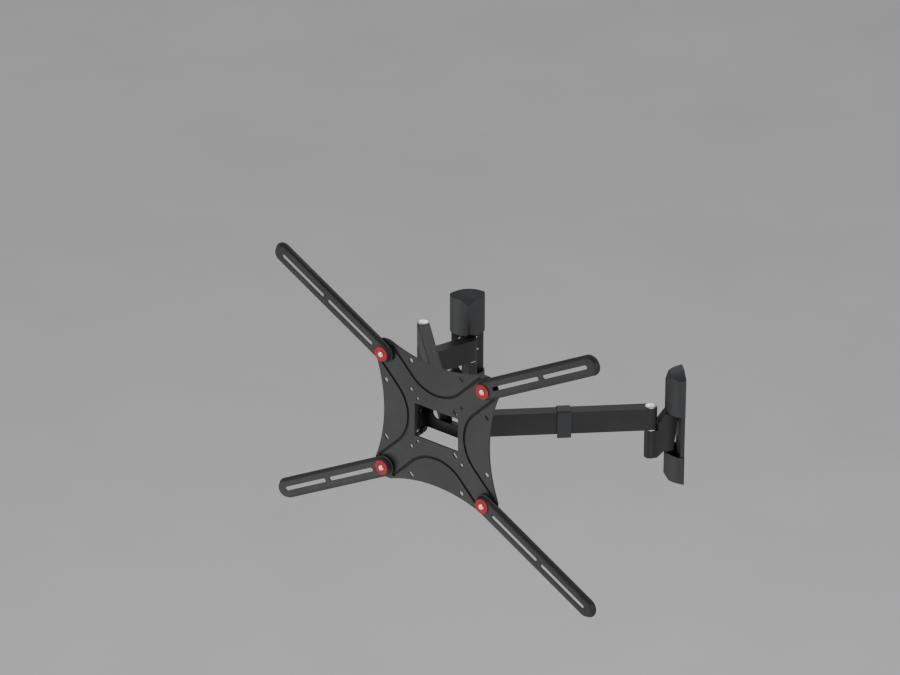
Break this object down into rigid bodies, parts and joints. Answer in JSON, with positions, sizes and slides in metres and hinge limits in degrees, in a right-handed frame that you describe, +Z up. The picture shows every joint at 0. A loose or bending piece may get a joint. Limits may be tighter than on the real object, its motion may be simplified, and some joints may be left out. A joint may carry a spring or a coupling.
{
  "type": "full motion corner television wall mount",
  "caption": "Two folding arms on the two walls of a corner carry a swivel frame, a tilting VESA plate and slotted extension arms for a flat television.",
  "frame": {"origin": "middle of the left wall plate's back, on the wall", "axes": "+Y into the left wall, +X along it towards the corner and into the right wall, +Z up"},
  "size_m": [0.6319, 0.6437, 0.4524],
  "materials": {
    "black_steel": "satin black powder coat",
    "black_plastic": "fine textured moulded ABS",
    "zinc_steel": "bright zinc plate",
    "white_nylon": "natural nylon",
    "red_nylon": "red moulded nylon"
  },
  "bodies": {
    "wall_brackets": {"left_wall_plate": "black_steel", "right_wall_plate": "black_steel", "left_top_cover": "black_plastic", "left_bottom_cover": "black_plastic", "right_top_cover": "black_plastic", "right_bottom_cover": "black_plastic", "wall_washers": "zinc_steel", "left_wall_pin": "zinc_steel", "right_wall_pin": "zinc_steel", "wall_pin_nuts": "zinc_steel"},
    "left_inner_arm": {"left_inner_link": "black_steel", "left_inner_bushes": "white_nylon", "left_elbow_pin": "zinc_steel", "left_elbow_nut": "zinc_steel", "left_elbow_washer": "zinc_steel"},
    "left_outer_arm": {"left_outer_link": "black_steel", "left_outer_bushes": "white_nylon"},
    "right_inner_arm": {"right_inner_link": "black_steel", "right_inner_bushes": "white_nylon", "right_elbow_pin": "zinc_steel", "right_elbow_nut": "zinc_steel", "right_elbow_washer": "zinc_steel"},
    "right_outer_arm": {"right_outer_link": "black_steel", "right_outer_bushes": "white_nylon"},
    "cable_clip": {"cable_clip": "black_plastic"},
    "head": {"swivel_frame": "black_steel", "left_head_pin": "zinc_steel", "right_head_pin": "zinc_steel", "head_pin_nuts": "zinc_steel", "head_washers": "white_nylon", "tilt_bolts": "black_steel", "tilt_nuts": "black_steel", "tilt_washers": "white_nylon", "lock_bolts": "black_steel", "lock_nuts": "black_steel"},
    "vesa_plate": {"vesa_plate": "black_steel", "corner_screws": "zinc_steel", "corner_washers": "red_nylon", "corner_spacers": "black_steel", "corner_nuts": "black_steel"},
    "top_left_arm": {"top_left_arm": "black_steel"},
    "top_right_arm": {"top_right_arm": "black_steel"},
    "bottom_left_arm": {"bottom_left_arm": "black_steel"},
    "bottom_right_arm": {"bottom_right_arm": "black_steel"}
  },
  "joints": [
    {"name": "left_wall_pivot", "type": "hinge", "parent": "wall_brackets", "child": "left_inner_arm", "pos_m": [0, -0.051, 0.017], "axis": [0, 0, 1], "range_deg": [-32, 32]},
    {"name": "left_elbow", "type": "hinge", "parent": "left_inner_arm", "child": "left_outer_arm", "pos_m": [-0.08138, -0.09391, 0.072], "axis": [0, 0, 1], "range_deg": [-31.1, 31.1]},
    {"name": "tv_swivel", "type": "hinge", "parent": "left_outer_arm", "child": "head", "pos_m": [-0.0739, -0.3618, 0.072], "axis": [0, 0, 1], "range_deg": [-39, 39]},
    {"name": "right_wall_pivot", "type": "hinge", "parent": "wall_brackets", "child": "right_inner_arm", "pos_m": [0.25617, -0.31191, 0.017], "axis": [0, 0, 1], "range_deg": [-1.4, 1.4]},
    {"name": "right_elbow", "type": "hinge", "parent": "right_inner_arm", "child": "right_outer_arm", "pos_m": [-0.01177, -0.3063, 0.072], "axis": [0, 0, 1], "range_deg": [-31.5, 31.5]},
    {"name": "tv_tilt", "type": "hinge", "parent": "head", "child": "vesa_plate", "pos_m": [-0.0838, -0.40281, 0.082], "axis": [0.7071, -0.7071, 0], "range_deg": [-5, 15]},
    {"name": "top_left_arm_swing", "type": "hinge", "parent": "vesa_plate", "child": "top_left_arm", "pos_m": [-0.17077, -0.34837, 0.172], "axis": [-0.7071, -0.7071, 0], "range_deg": [-45, 25]},
    {"name": "top_right_arm_swing", "type": "hinge", "parent": "vesa_plate", "child": "top_right_arm", "pos_m": [-0.02935, -0.48979, 0.172], "axis": [-0.7071, -0.7071, 0], "range_deg": [-25, 45]},
    {"name": "bottom_left_arm_swing", "type": "hinge", "parent": "vesa_plate", "child": "bottom_left_arm", "pos_m": [-0.17077, -0.34837, -0.028], "axis": [-0.7071, -0.7071, 0], "range_deg": [-25, 45]},
    {"name": "bottom_right_arm_swing", "type": "hinge", "parent": "vesa_plate", "child": "bottom_right_arm", "pos_m": [-0.02935, -0.48979, -0.028], "axis": [-0.7071, -0.7071, 0], "range_deg": [-45, 25]},
    {"name": "cable_clip_slide", "type": "slide", "parent": "right_inner_arm", "child": "cable_clip", "axis": [-0.9998, 0.0209, 0], "range_m": [-0.09, 0.09]}
  ],
  "couplings": [
    {"joint": "left_wall_pivot", "follows": "tv_swivel", "ratio": 0.817},
    {"joint": "left_elbow", "follows": "tv_swivel", "ratio": -0.7948},
    {"joint": "right_wall_pivot", "follows": "tv_swivel", "ratio": 0.0332},
    {"joint": "right_elbow", "follows": "tv_swivel", "ratio": 0.8063}
  ]
}
